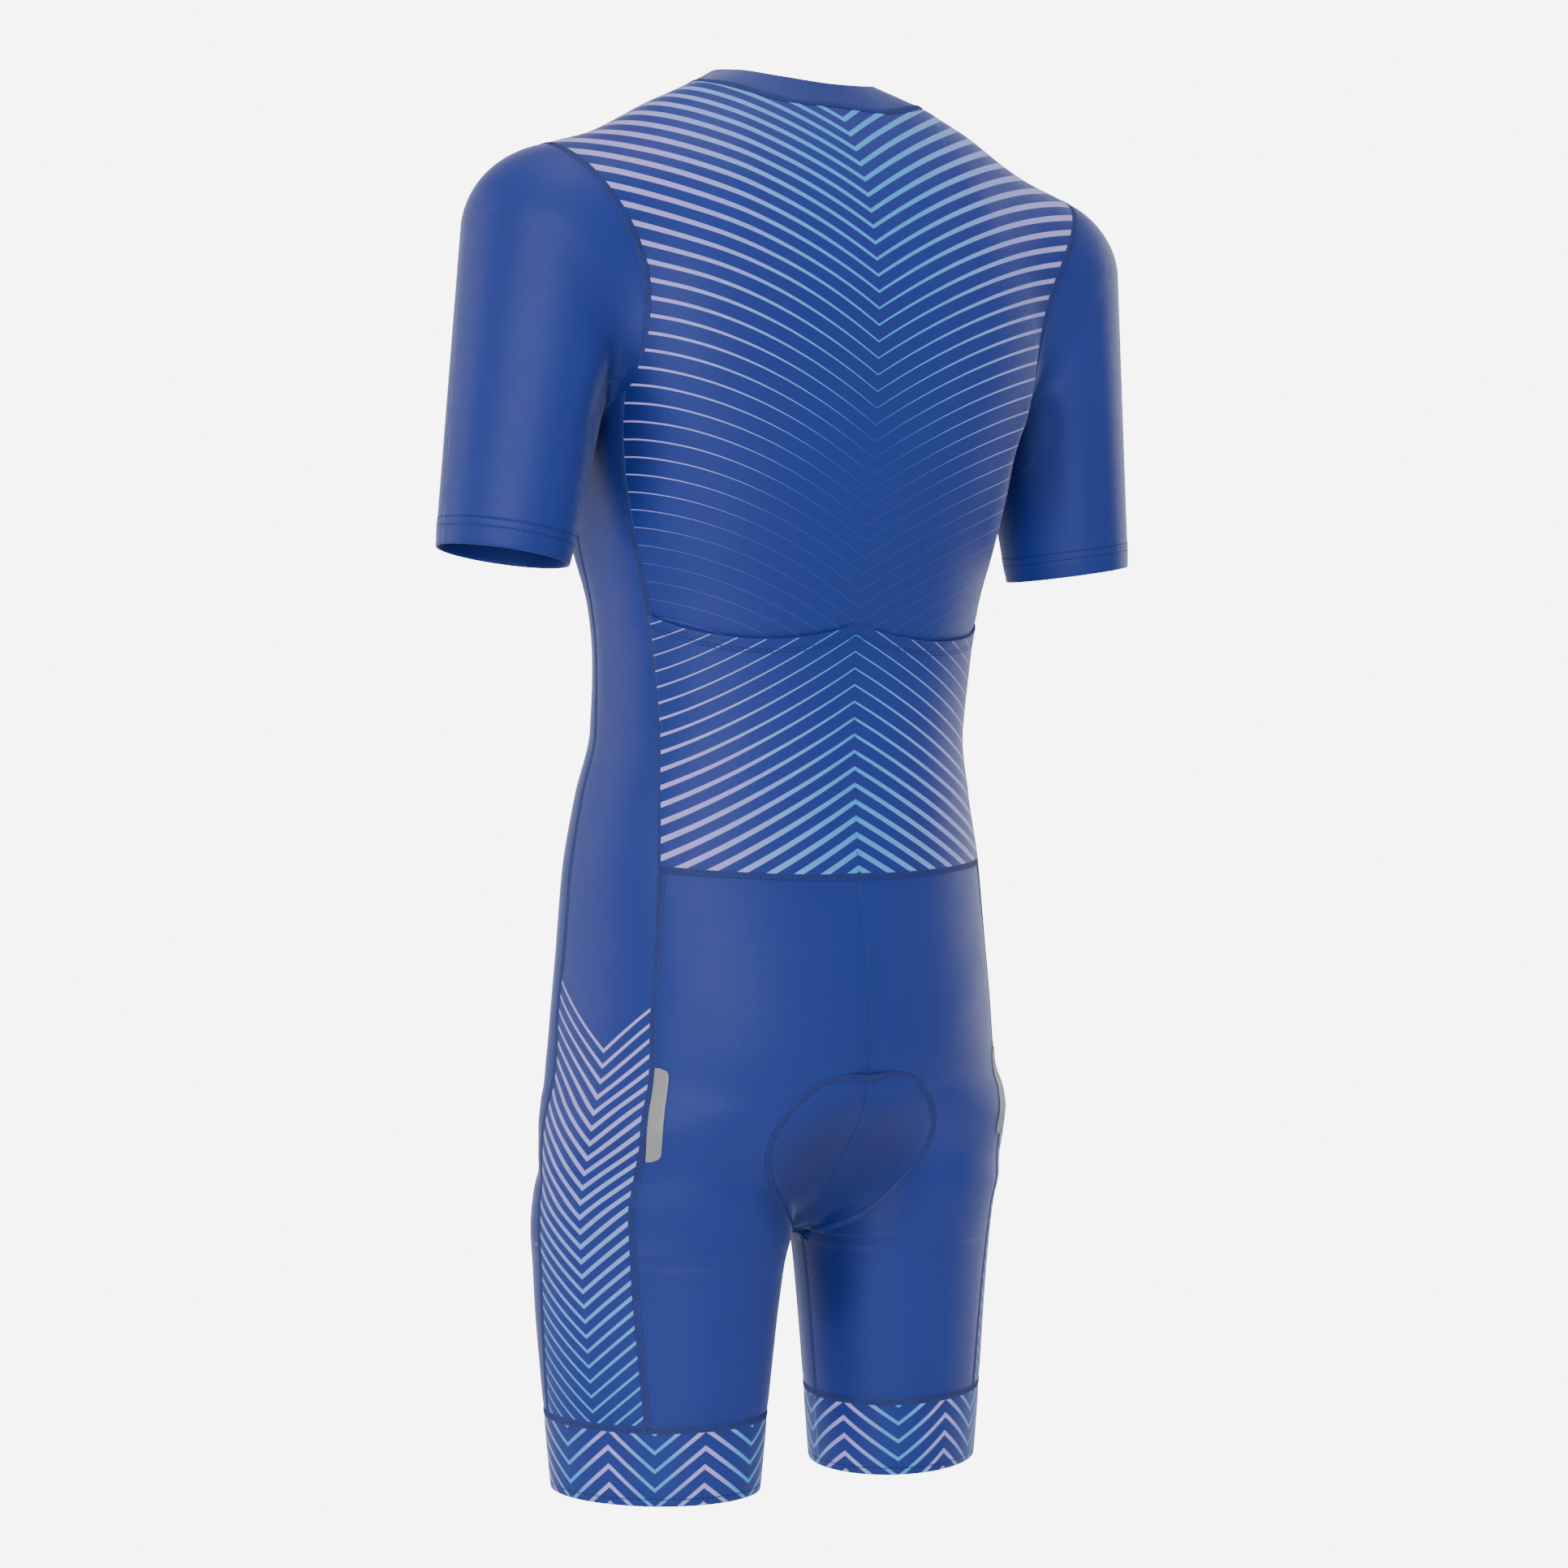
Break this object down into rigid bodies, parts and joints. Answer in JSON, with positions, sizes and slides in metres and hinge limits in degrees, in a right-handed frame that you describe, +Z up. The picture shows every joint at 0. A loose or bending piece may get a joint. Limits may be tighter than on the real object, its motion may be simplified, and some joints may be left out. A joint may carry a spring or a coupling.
{
  "type": "triathlon suit",
  "caption": "One-piece short-sleeved triathlon suit in blue stretch knit, as worn with no wearer, with short legs, low collar, front zip, open back pocket and seat pad",
  "frame": {"origin": "Midway between the shoulders, at the height of the neck seam's sides, where the wearer's shoulders hold the suit", "axes": "+Z up, the wearer faces -Y, and the wearer's left is +X"},
  "size_m": [0.5072, 0.2209, 0.8984],
  "materials": {
    "cloth": "satin warp-knit stretch cloth, royal blue, with printed chevron stripes",
    "leg_band": "smooth elastic leg grip band, royal blue, with printed chevron stripes",
    "pad": "brushed soft moulded fleece",
    "reflective_tab": "grey reflective tape",
    "zip_tape": "woven zip tape, dark blue",
    "zip_metal": "coated zip slider and pull"
  },
  "bodies": {
    "suit": {"back_panel": "cloth", "back_pocket": "cloth", "front_left": "cloth", "front_right": "cloth", "side_left": "cloth", "side_right": "cloth", "seat_left": "cloth", "seat_right": "cloth", "sleeve_left": "cloth", "sleeve_right": "cloth", "collar": "cloth", "leg_band_left": "leg_band", "leg_band_right": "leg_band", "seat_pad": "pad", "tab_left": "reflective_tab", "tab_right": "reflective_tab", "zip_tape_left": "zip_tape", "zip_tape_right": "zip_tape", "zip_slider": "zip_metal"},
    "pull": {"zip_pull": "zip_metal"}
  },
  "joints": [
    {"name": "pull_swing", "type": "hinge", "parent": "suit", "child": "pull", "pos_m": [0, -0.07497, -0.08395], "axis": [-1, 0, 0], "range_deg": [0, 150]}
  ]
}
